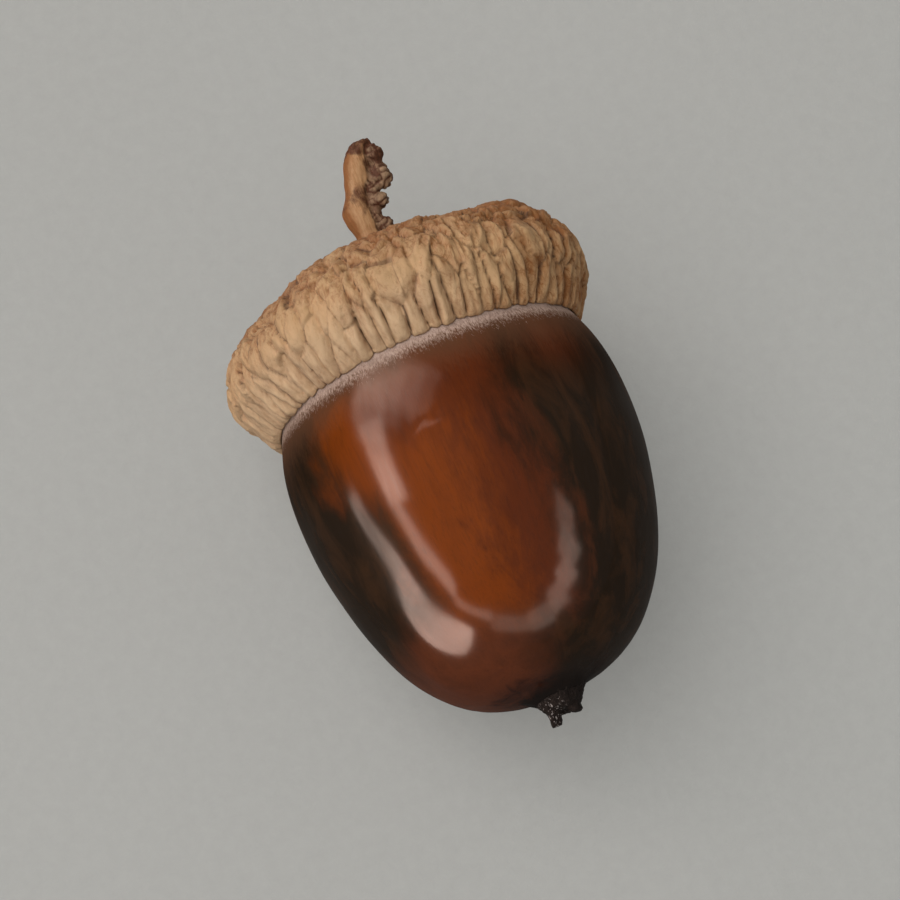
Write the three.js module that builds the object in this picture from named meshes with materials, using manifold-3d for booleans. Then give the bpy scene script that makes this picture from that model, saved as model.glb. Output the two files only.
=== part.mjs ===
// An acorn lying on its side: a smooth nut with dried style remains, in a folded cup on a short knobbly stem.
// Millimetres, +Z up. The acorn points along +X with its stem at -X. The stem's knobs are on its +Y side.
// The origin is on the surface that the acorn lies on, under the middle of it.
import * as THREE from "three";
import { ImprovedNoise } from "three/addons/math/ImprovedNoise.js";
import { mergeVertices } from "three/addons/utils/BufferGeometryUtils.js";
import Module from "manifold-3d";

const wasm = await Module();
wasm.setup();
const noise = new ImprovedNoise();
const turn = 2 * Math.PI;

// Driving dimensions
// Every piece is made upright on the acorn's own axis: z = 0 at the cup's rim and +z towards the point.
// Angles round that axis start at the side that lies down, in degrees, with 90 towards +Y.
const NUT_OUTLINE = [
  [0, -5.55], // radius, z
  [2.4, -5.45],
  [4.7, -4.95],
  [6.95, -3.75],
  [8.4, -2],
  [9.28, 0],
  [9.93, 2],
  [10.22, 4.5],
  [10.15, 7.5],
  [9.75, 10],
  [8.97, 12.9],
  [7.8, 15.6],
  [6.1, 17.85],
  [4.25, 19.15],
  [2.2, 19.8], // the flat point that carries the style remains
];
const NUT_LEAN = 0.4; // how far the nut's point strays towards -Y, with the style remains on it
const SEAT_GAP = 0.3; // between the nut and its cup, and under the stem and the style remains
const CUP_OUTLINE = [
  [2.1, -7.9], // the flat seat of the stem
  [4.2, -7.75],
  [6.3, -7.4],
  [8.1, -6.95],
  [9.55, -6.15],
  [10.6, -5.0],
  [11.12, -3.7],
  [11.1, -2.5],
  [10.5, -1.4],
  [9.98, -0.55],
];
const RIM = { radius: 9.7, z: -0.05 }; // of the rounded lip
const FOLDS = 48; // round the cup's wall
const FOLD_DEPTH = 0.5; // of the creases between the folds
const FOLD_FULLNESS = 0.7; // lower is rounder, with narrower creases
const FOLD_WANDER = 1.5; // how many folds a fold may stray sideways
const WANDER_RATE = 2.3; // how often it strays round the cup
const WANDER_LENGTH = 3.5; // and along it
const CRUMPLE_DEPTH = 0.55; // of the creases on the crown
const CRUMPLE_SIZE = 1.9; // across one lump of the crown
const CRUMPLE_CREASE = 0.38; // share of a lump that slopes into its creases
const CROWN_Z = [-7.3, -5.6]; // the crumpled crown turns into the folded wall between these
const WORN_PATCH = { z: -3.2, spread: 2.6 }; // the smooth patch that the cup lies on
// Low swellings and hollows of the cup's wall and crown
const SWELLINGS = [
  { angle: 127, z: -6.5, height: 0.6, spread: 2.2 },
  { angle: 214, z: -7.1, height: 0.4, spread: 1.8 },
  { angle: 241, z: -6.4, height: -0.4, spread: 1.8 },
  { angle: 257, z: -5, height: -0.3, spread: 1.6 },
  { angle: 40, z: -6.7, height: 0.5, spread: 2.3 },
  { angle: 325, z: -6.3, height: 0.4, spread: 2 },
];
// The stem's middle line leans towards +Y: y and radius at each z
const STEM_OUTLINE = [
  { z: -15.42, y: 1.9, radius: 0.45 },
  { z: -15.2, y: 1.85, radius: 0.68 },
  { z: -14.4, y: 1.3, radius: 0.8 },
  { z: -13.3, y: 0.9, radius: 0.85 },
  { z: -12.4, y: 0.57, radius: 0.82 },
  { z: -11.6, y: 0.15, radius: 0.95 },
  { z: -10.8, y: 0.15, radius: 0.95 },
  { z: -9.8, y: 0.2, radius: 0.75 },
  { z: -8.9, y: 0.15, radius: 0.9 },
  { z: CUP_OUTLINE[0][1] - SEAT_GAP, y: 0, radius: 1.6 },
];
const STEM_END_DISH = 0.15; // the broken end is hollowed by this much
const BARK = { depth: 0.12, rate: new THREE.Vector3(1.1, 1.1, 0.7) };
const STEM_KNOBS = [
  { x: -0.25, y: 2.35, z: -14.2, radius: 0.62, length: 0.7 },
  { x: -0.15, y: 2.2, z: -12.9, radius: 0.75, length: 0.9 },
  { x: -0.1, y: 1.35, z: -12.15, radius: 0.6, length: 0.8 },
  { x: 0.75, y: 0.7, z: -12.1, radius: 0.6, length: 0.7 },
  { x: -0.4, y: 1.5, z: -11.4, radius: 0.68, length: 0.55 },
  { x: -0.1, y: 0.95, z: -10.75, radius: 0.58, length: 0.6 },
  { x: -0.15, y: 1.3, z: -9.95, radius: 0.62, length: 0.6 },
];
// The dried cone flares onto the nut, and three short prongs spread from its end
const STYLE_OUTLINE = [
  [1.9, NUT_OUTLINE.at(-1)[1] + SEAT_GAP],
  [1.4, 20.4],
  [1.15, 20.8],
  [0.95, 21.05],
];
const STYLE_PRONGS = [
  { angle: 275, reach: 0.85, z: 21.72 },
  { angle: 95, reach: 0.5, z: 21.4 },
  { angle: 10, reach: 0.6, z: 21.15 },
];
const PRONG = { radius: 0.5, tipRadius: 0.22, rootZ: 20.5 };
// How the acorn lies: its point dips, so that the widest ring of the cup and the nut's belly both touch down
const DIP = THREE.MathUtils.degToRad(5.5);
const RIM_HEIGHT = 10.62; // of the rim's centre above the surface
const RIM_X = -3.173;

// Rows along each piece and sides round it
const [NUT_ROWS, NUT_SIDES] = [28, 60];
const [CUP_ROWS, POINTS_PER_FOLD] = [21, 4];
const FOLD_STEP = 12; // rows nearer the crown's middle have fewer folds, by this many at a time
const FULL_FOLDS_RADIUS = 9;
const [BOWL_ROWS, BOWL_SIDES] = [9, 48];
const BOWL_START = 0.33; // share of the nut's outline that the bowl goes round
const [STEM_ROWS, STEM_SIDES] = [24, 16];
const [STYLE_ROWS, STYLE_SIDES] = [5, 16];

const FINISH = {
  nut: { color: 0x6e3313, roughness: 0.28 },
  style: { color: 0x2b2320, roughness: 0.8 },
  cup: { color: 0xb58d63, roughness: 0.85 },
  stem: { color: 0x86643f, roughness: 0.8 },
};

// Meshes from rings
// A closed skin over rings that all go the same way round. The first and last ring are single points.
function skin(rings) {
  const starts = [];
  const points = [];
  for (const ring of rings) {
    starts.push(points.length);
    points.push(...ring);
  }
  const index = [];
  for (let k = 0; k + 1 < rings.length; k++) {
    const [n, m] = [rings[k].length, rings[k + 1].length];
    const near = (i) => starts[k] + (i % n);
    const far = (j) => starts[k + 1] + (j % m);
    const [nearEnd, farEnd] = [n === 1 ? 0 : n, m === 1 ? 0 : m];
    let [i, j] = [0, 0];
    while (i < nearEnd || j < farEnd) {
      if (j >= farEnd || (i < nearEnd && (i + 1) / n <= (j + 1) / m)) {
        index.push(near(i), near(i + 1), far(j));
        i++;
      } else {
        index.push(far(j + 1), far(j), near(i));
        j++;
      }
    }
  }
  return new THREE.BufferGeometry().setFromPoints(points).setIndex(index);
}

// Points round the axis at z. The angle of each may be shifted, and the ring's middle may be moved.
function ring(radius, z, sides, { shift = () => 0, x = 0, y = 0 } = {}) {
  return Array.from({ length: sides }, (_, i) => {
    const plain = (i / sides) * turn;
    const angle = plain + shift(plain);
    return new THREE.Vector3(x + radius * Math.cos(angle), y + radius * Math.sin(angle), z);
  });
}

const pole = (z, x = 0, y = 0) => [new THREE.Vector3(x, y, z)];

function outline(points) {
  return new THREE.SplineCurve(points.map(([radius, z]) => new THREE.Vector2(radius, z)));
}

// A closed geometry of shared points, from one that has its own normals and texture places at each corner
function merged(geometry) {
  return mergeVertices(geometry.deleteAttribute("normal").deleteAttribute("uv"), 1e-5);
}

function toSolid(geometry) {
  return new wasm.Manifold(
    new wasm.Mesh({
      numProp: 3,
      vertProperties: geometry.attributes.position.array,
      triVerts: new Uint32Array(geometry.index.array),
    }),
  );
}

function toGeometry(solid) {
  const { vertProperties, triVerts } = solid.getMesh();
  const geometry = new THREE.BufferGeometry();
  geometry.setAttribute("position", new THREE.BufferAttribute(vertProperties, 3));
  geometry.setIndex(new THREE.BufferAttribute(triVerts, 1));
  geometry.computeVertexNormals();
  return geometry;
}

// The nut
const nutOutline = outline(NUT_OUTLINE);

const nutLean = (z) => -NUT_LEAN * (Math.max(0, z) / NUT_OUTLINE.at(-1)[1]) ** 2;

function makeNut() {
  const rings = nutOutline
    .getSpacedPoints(NUT_ROWS)
    .slice(1)
    .map((p) => ring(p.x, p.y, p.x > 4 ? NUT_SIDES : NUT_SIDES / 2, { y: nutLean(p.y) }));
  const [first, last] = [NUT_OUTLINE[0], NUT_OUTLINE.at(-1)];
  return toSolid(skin([pole(first[1]), ...rings, pole(last[1], 0, nutLean(last[1]))]));
}

// The cup
const wallShare = (z) => THREE.MathUtils.smoothstep(z, ...CROWN_Z);

// How far the folds stray at a place on the wall, in folds
function wander(angle, z) {
  const strayed = noise.noise(WANDER_RATE * Math.cos(angle), WANDER_RATE * Math.sin(angle), z / WANDER_LENGTH);
  return FOLD_WANDER * wallShare(z) * strayed;
}

function creaseDepth(point) {
  const angle = Math.atan2(point.y, point.x);
  const phase = (FOLDS * angle) / turn + wander(angle, point.z);
  const fold = 1 - Math.abs(Math.sin(Math.PI * phase)) ** FOLD_FULLNESS;
  const lump = noise.noise(...point.clone().divideScalar(CRUMPLE_SIZE));
  const crumple = 1 - Math.min(1, Math.abs(lump) / CRUMPLE_CREASE);
  return THREE.MathUtils.lerp(CRUMPLE_DEPTH * crumple, FOLD_DEPTH * fold, wallShare(point.z));
}

function onWall(degrees, z) {
  const [radius] = CUP_OUTLINE.find(([, outlineZ]) => outlineZ >= z);
  const angle = THREE.MathUtils.degToRad(degrees);
  return new THREE.Vector3(radius * Math.cos(angle), radius * Math.sin(angle), z);
}

function swelling(point) {
  const heights = SWELLINGS.map(({ angle, z, height, spread }) => {
    return height * Math.exp(-((point.distanceTo(onWall(angle, z)) / spread) ** 2));
  });
  return heights.reduce((sum, height) => sum + height);
}

function makeCup() {
  const wall = outline(CUP_OUTLINE);
  const [seat, crown] = CUP_OUTLINE;
  const shift = (z) => (angle) => (-wander(angle, z) * turn) / FOLDS;
  const rings = [pole(seat[1])];
  for (let k = 0; k <= CUP_ROWS; k++) {
    const p = wall.getPointAt(k / CUP_ROWS);
    const tangent = wall.getTangentAt(k / CUP_ROWS);
    const folds = Math.min(FOLDS, FOLD_STEP * Math.ceil((FOLDS * p.x) / (FULL_FOLDS_RADIUS * FOLD_STEP)));
    const offSeat = THREE.MathUtils.smoothstep(p.x, seat[0], crown[0]);
    const lifted = ring(p.x, p.y, POINTS_PER_FOLD * folds, { shift: shift(p.y) }).map((point) => {
      const offPatch = 1 - Math.exp(-((point.distanceTo(onWall(0, WORN_PATCH.z)) / WORN_PATCH.spread) ** 4));
      const lift = offSeat * offPatch * (swelling(point) - creaseDepth(point));
      const outwards = new THREE.Vector3(point.x, point.y, 0).setLength(tangent.y * lift);
      return point.add(outwards).setZ(point.z - tangent.x * lift);
    });
    rings.push(lifted);
  }
  rings.push(ring(RIM.radius, RIM.z, 2 * FOLDS, { shift: shift(RIM.z) }));
  for (let k = BOWL_ROWS; k > 0; k--) {
    const t = (BOWL_START * k) / BOWL_ROWS;
    const p = nutOutline.getPoint(t);
    const tangent = nutOutline.getTangent(t);
    rings.push(ring(p.x + SEAT_GAP * tangent.y, p.y - SEAT_GAP * tangent.x, BOWL_SIDES));
  }
  rings.push(pole(NUT_OUTLINE[0][1] - SEAT_GAP));
  return toSolid(skin(rings));
}

// The stem
function makeStem() {
  const points = STEM_OUTLINE.map(({ z, y, radius }) => new THREE.Vector3(radius, y, z));
  const line = new THREE.CatmullRomCurve3(points);
  const bark = (point) => {
    const rough = noise.noise(...point.clone().multiply(BARK.rate));
    return point.setX(point.x * (1 + BARK.depth * rough));
  };
  const rings = line.getPoints(STEM_ROWS).map((p) => ring(p.x, p.z, STEM_SIDES, { y: p.y }).map(bark));
  const [end, foot] = [STEM_OUTLINE[0], STEM_OUTLINE.at(-1)];
  const shaft = toSolid(skin([pole(end.z + STEM_END_DISH, 0, end.y), ...rings, pole(foot.z)]));
  return STEM_KNOBS.reduce((stem, { x, y, z, radius, length }) => {
    const knob = new THREE.IcosahedronGeometry(1, 2).scale(radius, radius, length).translate(x, y, z);
    return stem.add(toSolid(merged(knob)));
  }, shaft);
}

// The style remains
function makeStyle() {
  const rings = outline(STYLE_OUTLINE)
    .getPoints(STYLE_ROWS)
    .map((p) => ring(p.x, p.y, STYLE_SIDES));
  const [foot, end] = [STYLE_OUTLINE[0], STYLE_OUTLINE.at(-1)];
  const cone = toSolid(skin([pole(foot[1]), ...rings, pole(end[1])]));
  const from = new THREE.Vector3(0, 0, PRONG.rootZ);
  return STYLE_PRONGS.reduce((style, { angle, reach, z }) => {
    const radians = THREE.MathUtils.degToRad(angle);
    const along = new THREE.Vector3(reach * Math.cos(radians), reach * Math.sin(radians), z).sub(from);
    const length = along.length();
    const lean = new THREE.Quaternion().setFromUnitVectors(THREE.Object3D.DEFAULT_UP, along.normalize());
    const prong = new THREE.CylinderGeometry(PRONG.tipRadius, PRONG.radius, length, STYLE_SIDES / 2)
      .translate(0, length / 2, 0)
      .applyQuaternion(lean)
      .translate(...from);
    return style.add(toSolid(merged(prong)));
  }, cone);
}

// The whole acorn, dipped, with flats where the nut and the cup touch down
const acorn = new THREE.Group();
acorn.name = "acorn";
acorn.rotation.y = Math.PI / 2 + DIP;
acorn.position.set(RIM_X, 0, RIM_HEIGHT);
acorn.updateMatrixWorld();

const floorSize = 80;
const floor = new THREE.BoxGeometry(floorSize, floorSize, floorSize)
  .translate(0, 0, -floorSize / 2)
  .applyMatrix4(acorn.matrixWorld.clone().invert());
const underFloor = toSolid(merged(floor));

function add(name, solid, finish) {
  const mesh = new THREE.Mesh(toGeometry(solid), new THREE.MeshStandardMaterial(finish));
  mesh.name = name;
  acorn.add(mesh);
  return mesh;
}

add("nut", makeNut().subtract(underFloor), FINISH.nut);
add("style_remains", makeStyle(), FINISH.style).position.y = -NUT_LEAN;
add("cup", makeCup().subtract(underFloor), FINISH.cup);
add("stem", makeStem(), FINISH.stem);

export default acorn;
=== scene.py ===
"""The looks of an acorn that lies on its side: its glossy nut, the dried style remains at the point, the
wrinkled cup and the knobbly stem. Each is a fine mesh with a procedural material. They lie on a pale floor
in soft light.
"""

import math

import bpy
import numpy as np
from bpy.props import FloatProperty, FloatVectorProperty, IntProperty, PointerProperty
from mathutils import Matrix, Vector
from mathutils.kdtree import KDTree


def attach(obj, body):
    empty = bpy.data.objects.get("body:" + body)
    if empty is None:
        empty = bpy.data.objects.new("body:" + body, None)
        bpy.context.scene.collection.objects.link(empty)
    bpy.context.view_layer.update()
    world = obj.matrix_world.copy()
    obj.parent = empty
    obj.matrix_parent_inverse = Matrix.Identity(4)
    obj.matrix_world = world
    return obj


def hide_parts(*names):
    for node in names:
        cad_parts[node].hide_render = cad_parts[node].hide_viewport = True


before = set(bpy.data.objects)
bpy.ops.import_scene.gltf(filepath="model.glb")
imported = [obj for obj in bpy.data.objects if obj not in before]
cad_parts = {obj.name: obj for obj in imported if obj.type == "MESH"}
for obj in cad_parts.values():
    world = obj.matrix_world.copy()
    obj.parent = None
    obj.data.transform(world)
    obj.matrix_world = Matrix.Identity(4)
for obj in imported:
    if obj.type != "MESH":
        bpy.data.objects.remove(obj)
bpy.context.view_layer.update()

bl_info = {
    "name": "Acorn",
    "version": (1, 0, 0),
    "blender": (4, 5, 0),
    "location": "3D View > Sidebar > Acorn",
    "description": "Makes an acorn lying on its side, piece by piece, on a lit pale floor",
    "category": "Object",
}

MM = 0.001
TURN = 2 * math.pi

# The acorn's own frame: millimetres, z = 0 at the cup's rim, +z to the point, and x down to the side that
# it lies on. Angles go round z from that side, in degrees, with 90 towards +Y of the row's frame.
DIP = math.radians(5.5)
RIM_CENTRE = Vector((-3.173, 0, 10.62)) * MM
LAID = Matrix.Rotation(math.pi / 2 + DIP, 3, "Y")

# Outlines from the stem's end to the point: radius and z
NUT_OUTLINE = [
    (0, -5.55),
    (2.4, -5.45),
    (4.7, -4.95),
    (6.95, -3.75),
    (8.4, -2),
    (9.28, 0),
    (9.93, 2),
    (10.22, 4.5),
    (10.15, 7.5),
    (9.75, 10),
    (8.97, 12.9),
    (7.8, 15.6),
    (6.1, 17.85),
    (4.25, 19.15),
    (2.2, 19.8),
]
NUT_FLARE = [(1.85, 19.98), (1.5, 20.25)]  # the shell runs up onto the style remains
NUT_LEAN = 0.4  # of the point towards -Y
NUT_ROWS, NUT_SIDES = 260, 320
# Low swellings of the shell: angle, z, height, spread round the nut and spread along it
NUT_SWELLINGS = [
    (239.5, 16.4, 0.3, 1.5, 3.3),
    (251, 17.2, 0.14, 0.9, 1),
    (160, 3, -0.1, 2.5, 1.6),
    (120, 8, 0.12, 3, 5),
]
NUT_END = NUT_OUTLINE[-1][1]
# A faint short wrinkle on the ripe side: its middle, and how far it climbs in each degree
SHELL_WRINKLE_ANGLE, SHELL_WRINKLE_Z, SHELL_WRINKLE_CLIMB = 194, 5.0, 0.047
HAIR_ZONE = (-0.15, 1.05)  # the lowest and highest z of a hair's root
HAIR_HALF_WIDTH = 0.008

CUP_OUTLINE = [
    (2.1, -7.9),
    (4.2, -7.75),
    (6.3, -7.4),
    (8.1, -6.95),
    (9.55, -6.15),
    (10.6, -5.0),
    (11.12, -3.7),
    (11.1, -2.5),
    (10.5, -1.4),
    (9.95, -0.55),
    (9.72, -0.14),
    (9.4, 0.05),
]
SEAT_GAP = 0.3  # between the cup and the nut
CROWN_SHARE = 0.36  # of the outline's length, where the crown ends and the wall begins
CROWN_ROWS, WALL_ROWS, BOWL_ROWS, CUP_SIDES = 32, 104, 12, 640
BOWL_SHARES = (0.27, 0.002)  # of the nut's outline, which the bowl follows from the rim to its middle
BOWL_BROWN = 0.4  # how brown the bowl is inside
FOLD_RADIUS = 10.9  # the wall counts as a straight tube of this radius
FOLD_LENGTH = 4.5  # as far as this from the rim
# The share that a distance away from the rim counts beside one round the cup, and the least spacing
FOLD_STRETCH, FOLD_SPACING = 0.34, 0.8
WRINKLE_STRETCH, WRINKLE_SPACING = 0.26, 0.42
RIDGE_STRETCH = 0.55
CALM_ANGLE, CALM_SPREAD = 284, 20  # where the folds are shallower
# Low swellings and hollows of the cup: angle, z, height and spread
CUP_SWELLINGS = [
    (127, -6.5, 0.45, 2.2),
    (150, -7, -0.2, 1.6),
    (214, -7.1, 0.1, 1.8),
    (239, -6.5, -0.85, 1.9),
    (257, -5, -0.3, 1.6),
    (40, -6.7, 0.5, 2.3),
    (325, -6.3, 0.4, 2),
]
# The stem's middle line: z, y and radius
STEM_OUTLINE = [
    (-15.36, 1.84, 0.66),
    (-15.14, 1.74, 0.84),
    (-14.4, 1.3, 0.85),
    (-13.3, 0.9, 0.85),
    (-12.4, 0.57, 0.82),
    (-11.6, 0.15, 0.95),
    (-10.8, 0.15, 0.95),
    (-9.8, 0.2, 0.75),
    (-8.9, 0.15, 0.9),
    (-8.1, 0, 1.6),
]
# Knobs on the stem: x, y, z, radius and half length
STEM_KNOBS = [
    (-0.25, 2.35, -14.35, 0.62, 0.75),
    (-0.15, 2.2, -12.9, 0.75, 0.9),
    (-0.1, 1.35, -12.15, 0.6, 0.8),
    (0.75, 0.7, -12.1, 0.6, 0.7),
    (-0.4, 1.5, -11.4, 0.68, 0.55),
    (-0.1, 0.95, -10.75, 0.58, 0.6),
    (-0.15, 1.3, -9.95, 0.62, 0.6),
]
STEM_VOXEL = 0.06
# Dark scars, and painted shade in the hollows between the shaft and its knobs: x, y, z, radius, half length
# and strength
STEM_SCARS_AND_SHADE = [
    (-0.4, 2.5, -14.1, 0.75, 0.7, 1.0),
    (-0.6, 1.85, -13.4, 0.36, 1.1, 1.0),
    (-0.7, 0.6, -11.8, 0.9, 0.8, 0.75),
    (-0.6, 1.15, -11.0, 0.45, 0.7, 0.7),
    (-0.2, 1.7, -10.4, 0.55, 0.45, 1.0),
    (-0.2, 1.9, -9.6, 0.8, 0.4, 0.9),
    (-0.3, 2.95, -12.7, 0.3, 0.9, 0.8),
]
STYLE_OUTLINE = [(1.75, 19.95), (1.5, 20.2), (1.3, 20.5), (1.12, 20.8), (0.85, 21.0)]
STYLE_VOXEL = 0.045
# Each prong's tip: angle, reach from the axis, z and radius
STYLE_PRONGS = [
    (275, 0.82, 21.72, 0.27),
    (256, 1.02, 21.6, 0.15),
    (292, 0.66, 21.76, 0.13),
    (95, 0.6, 21.36, 0.3),
    (75, 0.8, 21.4, 0.12),
    (10, 0.6, 21.15, 0.3),
]

LIGHT_DISTANCE = 0.6
LIGHT_AIM = Vector((0, 0, 0.01))
SOFT_BOX = ((-155, -35), (46, 89))  # first and last azimuth, and lowest and highest elevation
# The soft-edged tall light that the nut mirrors: first and last azimuth, lowest and highest elevation, and
# share of its radiance
WINDOW = [
    (-168, -130, 17, 66, 0.2),
    (-160, -124, 19, 59, 0.25),
    (-151, -117, 21, 50, 0.25),
    (-143, -110, 23, 41, 0.3),
]
# The bright band that it mirrors, in the same way
SKYLINE = [
    (-118, -88, 26, 39, 1.5),
    (-88, -58, 26, 33, 1.1),
    (-58, -30, 22, 28, 0.6),
    (-30, -2, 17, 26, 0.32),
    (-2, 16, 15, 27, 0.42),
    (16, 30, 18, 31, 0.55),
    (30, 42, 22, 36, 0.65),
    (42, 54, 27, 41, 0.55),
    (54, 66, 33, 44, 0.35),
]
# The light at the floor on the left, in the same way
LOW_WINDOW = [
    (-101, -84, 0.5, 11, 0.45),
    (-84, -66, 0.5, 12, 0.85),
    (-66, -42, 0.5, 12, 1.0),
]

# The camera looks down on the acorn from its point end
CAMERA_ELEVATION = math.radians(67)
CAMERA_TURN = math.radians(22.8)  # of the view, from the row's +X axis towards -Y
CAMERA_DISTANCE = 0.26
CAMERA_TARGET = RIM_CENTRE + Vector((4.396, -0.583, 0)) * MM
PHOTO_WIDTH = 900
PIXELS_PER_METRE = 17300  # at the target
SENSOR_WIDTH = 36  # in millimetres, as Blender counts it
CLIP_START = 0.01
FLOOR_REACH = 3  # in metres, each way from the middle
PAPER_GRAIN = 0.06  # how far its grain is lighter and darker, as a share
PAPER_CLOUDS = 0.06  # the share of the clouds' colour


# Numbers
def smooth(low, high, x):
    """0 below low, 1 above high and an even slope between them."""
    t = np.clip((x - low) / (high - low), 0, 1)
    return t * t * (3 - 2 * t)


def bell(distance, spread):
    """1 where the distance is 0, falling away by the spread."""
    return np.exp(-((distance / spread) ** 2))


class Noise:
    """Smooth noise in space, from about -1 to 1. A seed gives the same noise on every run."""

    def __init__(self, seed):
        rng = np.random.default_rng(seed)
        self.order = np.tile(rng.permutation(256), 3)
        slopes = rng.normal(size=(256, 3))
        self.slopes = slopes / np.linalg.norm(slopes, axis=1, keepdims=True)

    def __call__(self, points):
        cell = np.floor(points).astype(int)
        inside = points - cell
        cell &= 255
        ease = inside**3 * (inside * (inside * 6 - 15) + 10)
        total = 0
        for corner in np.ndindex(2, 2, 2):
            x, y, z = np.moveaxis(cell + corner, -1, 0)
            slope = self.slopes[self.order[self.order[self.order[x] + y] + z]]
            weight = np.prod(np.where(corner, ease, 1 - ease), axis=-1)
            total = total + weight * ((inside - corner) * slope).sum(-1)
        return 1.6 * total

    def creases(self, points, width):
        """1 along the creases between the noise's lumps, falling to 0 on the lumps."""
        return 1 - np.minimum(1, np.abs(self(points)) / width)


def noise_vector(seed, points):
    """Three noises at each point, as a way to stray."""
    return np.stack([Noise(seed + k)(points) for k in range(3)], -1)


class Outline:
    """A smooth curve of radius and z through a few points, walked by its share of length."""

    def __init__(self, points, steps=40):
        points = np.array(points, float)
        before = np.vstack([points[:1], points[:-1]])
        after = np.vstack([points[1:], points[-1:]])
        after2 = np.vstack([after[1:], after[-1:]])
        t = (np.arange(steps) / steps)[:, None]
        pieces = []
        for p0, p1, p2, p3 in list(zip(before, points, after, after2))[:-1]:
            v0, v1 = (p2 - p0) / 2, (p3 - p1) / 2
            cubed = 2 * p1 - 2 * p2 + v0 + v1
            squared = -3 * p1 + 3 * p2 - 2 * v0 - v1
            pieces.append(cubed * t**3 + squared * t**2 + v0 * t + p1)
        self.line = np.vstack([*pieces, points[-1:]])
        lengths = np.linalg.norm(np.diff(self.line, axis=0), axis=1)
        self.walked = np.concatenate([[0], np.cumsum(lengths)])
        self.length = self.walked[-1]

    def at(self, shares):
        """The curve's points at shares of its length."""
        walked = np.asarray(shares) * self.length
        return np.stack([np.interp(walked, self.walked, column) for column in self.line.T], -1)

    def outwards(self, shares):
        """The direction away from the body at each share, for a line walked with the body on its left."""
        step = 1e-3
        along = self.at(np.minimum(1, shares + step)) - self.at(np.maximum(0, shares - step))
        along /= np.linalg.norm(along, axis=-1, keepdims=True)
        return np.stack([along[:, 1], -along[:, 0]], -1)


# Meshes
def round_points(radius, z, angle):
    """Rings of points round z."""
    return np.stack([radius * np.cos(angle), radius * np.sin(angle), z + 0 * angle], -1)


def laid_down(points):
    """Points of the acorn's frame in the row's frame, in metres. What would pass the floor is flat on it."""
    points = points.reshape(-1, 3) * MM @ np.array(LAID).T + np.array(RIM_CENTRE)
    points[:, 2] = np.maximum(0, points[:, 2])
    return points


def ring_faces(rows, sides):
    """The faces between rings of points, and one face that closes each end."""
    row, side = np.meshgrid(np.arange(rows - 1), np.arange(sides), indexing="ij")
    corner = row * sides + side
    beside = row * sides + (side + 1) % sides
    quads = np.stack([corner, beside, beside + sides, corner + sides], -1).reshape(-1, 4)
    first = list(range(sides))[::-1]
    last = [(rows - 1) * sides + k for k in range(sides)]
    return [*quads.tolist(), first, last]


def make_mesh(name, points, faces, **values):
    """A smooth mesh of points in the acorn's frame, with a value for each point by name."""
    mesh = bpy.data.meshes.new(name)
    mesh.from_pydata(laid_down(points).tolist(), [], faces)
    mesh.validate()
    mesh.shade_smooth()
    for label, numbers in values.items():
        attribute = mesh.attributes.new(label, "FLOAT", "POINT")
        attribute.data.foreach_set("value", np.ravel(numbers).astype(np.float32))
    return mesh


def place(name, mesh, material, slot, *nodes):
    """A piece of the acorn, standing for CAD nodes."""
    piece = bpy.data.objects.new(name, mesh)
    bpy.context.scene.collection.objects.link(piece)
    mesh.materials.append(material)
    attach(piece, "root")
    if nodes:
        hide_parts(*nodes)


def fused(parts, voxel):
    """One even skin round overlapping closed parts of (points, faces), as points, normals and faces."""
    points, faces = [], []
    for part_points, part_faces in parts:
        faces += [[corner + len(points) for corner in face] for face in part_faces]
        points += part_points.tolist()
    mesh = bpy.data.meshes.new("fused")
    mesh.from_pydata(points, [], faces)
    body = bpy.data.objects.new("fused", mesh)
    bpy.context.scene.collection.objects.link(body)
    remesh = body.modifiers.new("skin", "REMESH")
    remesh.mode = "VOXEL"
    remesh.voxel_size = voxel
    relax = body.modifiers.new("relax", "SMOOTH")
    relax.iterations = 4
    skin = body.evaluated_get(bpy.context.evaluated_depsgraph_get()).to_mesh()
    spots = np.zeros(len(skin.vertices) * 3, np.float32)
    normals = np.zeros(len(skin.vertices) * 3, np.float32)
    skin.vertices.foreach_get("co", spots)
    skin.vertices.foreach_get("normal", normals)
    skin_faces = [list(face.vertices) for face in skin.polygons]
    bpy.data.objects.remove(body)
    bpy.data.meshes.remove(mesh)
    return spots.reshape(-1, 3).astype(float), normals.reshape(-1, 3).astype(float), skin_faces


def ball(x, y, z, radius, length, rows=12, sides=20):
    """A ball drawn out along z, with a small flat at each end."""
    flat = 0.12
    polar = np.linspace(flat, math.pi - flat, rows)[:, None]
    angle = np.arange(sides) / sides * TURN
    points = round_points(radius * np.sin(polar), z - length * np.cos(polar), angle) + [x, y, 0]
    return points.reshape(-1, 3), ring_faces(rows, sides)


def tube(line, sides=32):
    """Rings round a middle line of (x, y, z, radius)."""
    angle = np.arange(sides) / sides * TURN
    points = round_points(line[:, 3:4], line[:, 2:3], angle)
    points[..., :2] += line[:, None, :2]
    return points.reshape(-1, 3), ring_faces(len(line), sides)


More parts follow.
